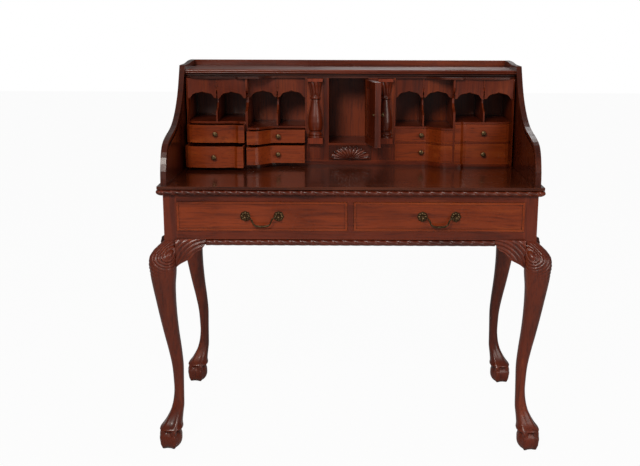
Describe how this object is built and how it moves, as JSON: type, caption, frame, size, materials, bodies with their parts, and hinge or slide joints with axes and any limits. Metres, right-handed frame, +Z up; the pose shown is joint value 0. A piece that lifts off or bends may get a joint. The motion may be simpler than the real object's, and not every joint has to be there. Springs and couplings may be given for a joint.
{
  "type": "desk",
  "caption": "Roll top writing desk in red-brown mahogany on carved cabriole legs, with two wide drawers, pigeonholes, small drawers and a middle door",
  "frame": {"origin": "on the floor, under the middle of the desk's box", "axes": "X to the sitter's right, Y away from the sitter, Z up"},
  "size_m": [1.13, 0.644, 1.089],
  "materials": {
    "mahogany": "polished red-brown mahogany",
    "back_wood": "plain stained wood, satin",
    "shutter_wood": "polished slats, satin",
    "runner_wood": "bare pale wood",
    "bronze": "antiqued, dark in the hollows"
  },
  "bodies": {
    "case": {"writing_top": "mahogany", "top_carved_moulding": "mahogany", "leg_front_left": "mahogany", "leg_front_right": "mahogany", "leg_back_left": "mahogany", "leg_back_right": "mahogany", "knee_brackets": "mahogany", "front_rails": "mahogany", "side_aprons": "mahogany", "back_apron": "back_wood", "skirt_carved_moulding": "mahogany", "drawer_runners": "runner_wood", "side_panel_left": "mahogany", "side_panel_right": "mahogany", "upper_shelf": "mahogany", "gallery_rail": "mahogany", "back_panel": "back_wood", "interior_base": "mahogany", "interior_roof": "mahogany", "interior_back": "back_wood", "interior_partitions": "mahogany", "interior_shelves": "mahogany", "slim_dividers": "mahogany", "valances": "mahogany", "door_stiles": "mahogany"},
    "wide_drawer_left_body": {"wide_drawer_left": "mahogany", "rosettes_left": "bronze"},
    "bail_left_body": {"bail_left": "bronze"},
    "wide_drawer_right_body": {"wide_drawer_right": "mahogany", "rosettes_right": "bronze"},
    "bail_right_body": {"bail_right": "bronze"},
    "shutter_flat": {"shutter_lead_rail": "shutter_wood", "shutter_flat_slats": "shutter_wood"},
    "shutter_hanging": {"shutter_hanging_slats": "shutter_wood"},
    "door_body": {"door": "mahogany", "door_knob": "bronze"},
    "shell_drawer_body": {"shell_drawer": "mahogany"},
    "slide_left_body": {"slide_left": "mahogany", "column_left": "mahogany"},
    "slide_right_body": {"slide_right": "mahogany", "column_right": "mahogany"},
    "drawer_left_outer_upper_body": {"drawer_left_outer_upper": "mahogany", "knob_left_outer_upper": "bronze"},
    "drawer_left_outer_lower_body": {"drawer_left_outer_lower": "mahogany", "knob_left_outer_lower": "bronze"},
    "drawer_left_inner_upper_body": {"drawer_left_inner_upper": "mahogany", "knob_left_inner_upper": "bronze"},
    "drawer_left_inner_lower_body": {"drawer_left_inner_lower": "mahogany", "knob_left_inner_lower": "bronze"},
    "drawer_right_outer_upper_body": {"drawer_right_outer_upper": "mahogany", "knob_right_outer_upper": "bronze"},
    "drawer_right_outer_lower_body": {"drawer_right_outer_lower": "mahogany", "knob_right_outer_lower": "bronze"},
    "drawer_right_inner_upper_body": {"drawer_right_inner_upper": "mahogany", "knob_right_inner_upper": "bronze"},
    "drawer_right_inner_lower_body": {"drawer_right_inner_lower": "mahogany", "knob_right_inner_lower": "bronze"}
  },
  "joints": [
    {"name": "wide_drawer_left_slide", "type": "slide", "parent": "case", "child": "wide_drawer_left_body", "axis": [0, -1, 0], "range_m": [0, 0.36]},
    {"name": "bail_left_hinge", "type": "hinge", "parent": "wide_drawer_left_body", "child": "bail_left_body", "pos_m": [-0.24675, -0.293, 0.6895], "axis": [-1, 0, 0], "range_deg": [0, 80]},
    {"name": "wide_drawer_right_slide", "type": "slide", "parent": "case", "child": "wide_drawer_right_body", "axis": [0, -1, 0], "range_m": [0, 0.36]},
    {"name": "bail_right_hinge", "type": "hinge", "parent": "wide_drawer_right_body", "child": "bail_right_body", "pos_m": [0.24675, -0.293, 0.6895], "axis": [-1, 0, 0], "range_deg": [0, 80]},
    {"name": "shutter_slide", "type": "slide", "parent": "case", "child": "shutter_flat", "axis": [0, -1, 0], "range_m": [0, 0.016]},
    {"name": "shutter_rise", "type": "slide", "parent": "case", "child": "shutter_hanging", "axis": [0, 0, 1], "range_m": [0, 0.016]},
    {"name": "door_hinge", "type": "hinge", "parent": "case", "child": "door_body", "pos_m": [0.0632, 0.1, 0.843], "axis": [0, 0, 1], "range_deg": [-102, 0]},
    {"name": "shell_drawer_slide", "type": "slide", "parent": "case", "child": "shell_drawer_body", "axis": [0, -1, 0], "range_m": [0, 0.1]},
    {"name": "slide_left_pull", "type": "slide", "parent": "case", "child": "slide_left_body", "axis": [0, -1, 0], "range_m": [0, 0.12]},
    {"name": "slide_right_pull", "type": "slide", "parent": "case", "child": "slide_right_body", "axis": [0, -1, 0], "range_m": [0, 0.045]},
    {"name": "drawer_left_outer_upper_slide", "type": "slide", "parent": "case", "child": "drawer_left_outer_upper_body", "axis": [0, -1, 0], "range_m": [-0.045, 0.085]},
    {"name": "drawer_left_outer_lower_slide", "type": "slide", "parent": "case", "child": "drawer_left_outer_lower_body", "axis": [0, -1, 0], "range_m": [-0.085, 0.045]},
    {"name": "drawer_left_inner_upper_slide", "type": "slide", "parent": "case", "child": "drawer_left_inner_upper_body", "axis": [0, -1, 0], "range_m": [-0.04, 0.09]},
    {"name": "drawer_left_inner_lower_slide", "type": "slide", "parent": "case", "child": "drawer_left_inner_lower_body", "axis": [0, -1, 0], "range_m": [-0.055, 0.075]},
    {"name": "drawer_right_outer_upper_slide", "type": "slide", "parent": "case", "child": "drawer_right_outer_upper_body", "axis": [0, -1, 0], "range_m": [0, 0.13]},
    {"name": "drawer_right_outer_lower_slide", "type": "slide", "parent": "case", "child": "drawer_right_outer_lower_body", "axis": [0, -1, 0], "range_m": [0, 0.13]},
    {"name": "drawer_right_inner_upper_slide", "type": "slide", "parent": "case", "child": "drawer_right_inner_upper_body", "axis": [0, -1, 0], "range_m": [0, 0.13]},
    {"name": "drawer_right_inner_lower_slide", "type": "slide", "parent": "case", "child": "drawer_right_inner_lower_body", "axis": [0, -1, 0], "range_m": [0, 0.13]}
  ],
  "couplings": [
    {"joint": "shutter_rise", "follows": "shutter_slide", "ratio": 1}
  ]
}
